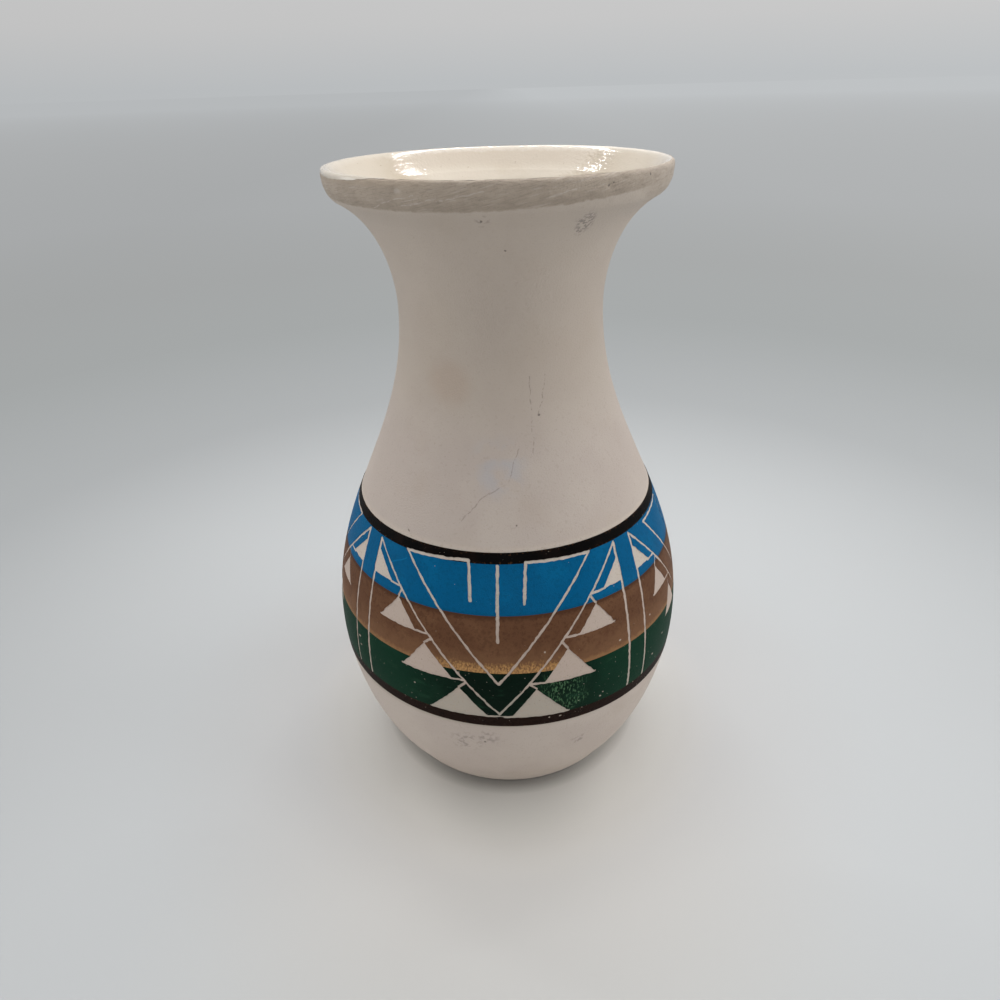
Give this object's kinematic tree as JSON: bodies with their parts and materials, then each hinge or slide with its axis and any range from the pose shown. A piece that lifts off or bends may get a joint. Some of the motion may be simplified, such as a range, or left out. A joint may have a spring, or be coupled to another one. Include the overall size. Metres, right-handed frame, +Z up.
{
  "type": "pottery vase",
  "caption": "Round-bellied vase with a drawn-in neck and a flared mouth, glazed inside, with bands of colour and bare stepped triangles round the belly.",
  "frame": {"origin": "centre of the foot, on the surface that the vase stands on", "axes": "+Z up along the vase's axis, -Y towards the front, where the widest motif of the ornament is"},
  "size_m": [0.1306, 0.1306, 0.2152],
  "materials": {
    "fired_clay": "matte unglazed bisque, cream with a pink cast",
    "clear_glaze": "glossy clear glaze over the cream clay",
    "black_coat": "satin black",
    "blue_coat": "satin blue",
    "brown_coat": "satin brown, paler and speckled towards its lower edge",
    "green_coat": "satin dark green"
  },
  "bodies": {
    "root": {"clay_body": "fired_clay", "interior_glaze": "clear_glaze", "upper_black_line": "black_coat", "blue_band": "blue_coat", "brown_band": "brown_coat", "green_band": "green_coat", "lower_black_line": "black_coat"}
  },
  "joints": []
}
